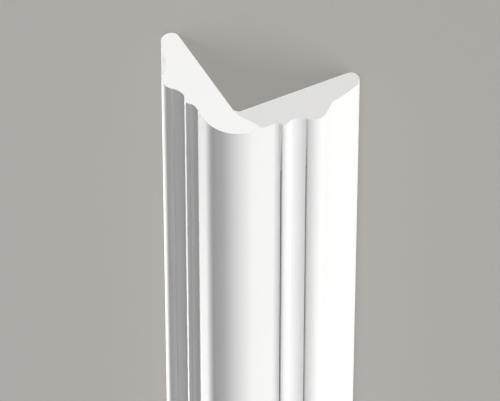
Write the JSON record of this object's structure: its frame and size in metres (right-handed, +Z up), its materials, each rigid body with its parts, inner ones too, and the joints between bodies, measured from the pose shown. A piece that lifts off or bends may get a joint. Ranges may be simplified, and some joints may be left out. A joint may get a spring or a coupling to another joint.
{
  "type": "outside corner moulding",
  "caption": "Moulded trim stick with a right-angled notch at the back, two profiled legs and a rounded crown, for covering an outside wall corner.",
  "frame": {"origin": "on the floor under the middle of the stick, on its plane of symmetry", "axes": "+Y along the stick, +Z up from the floor through the wall notch and out of the crown, +X towards one leg"},
  "size_m": [0.0934, 2, 0.054],
  "materials": {
    "white_polymer": "satin, primed white"
  },
  "bodies": {
    "root": {"corner_moulding": "white_polymer"}
  },
  "joints": []
}
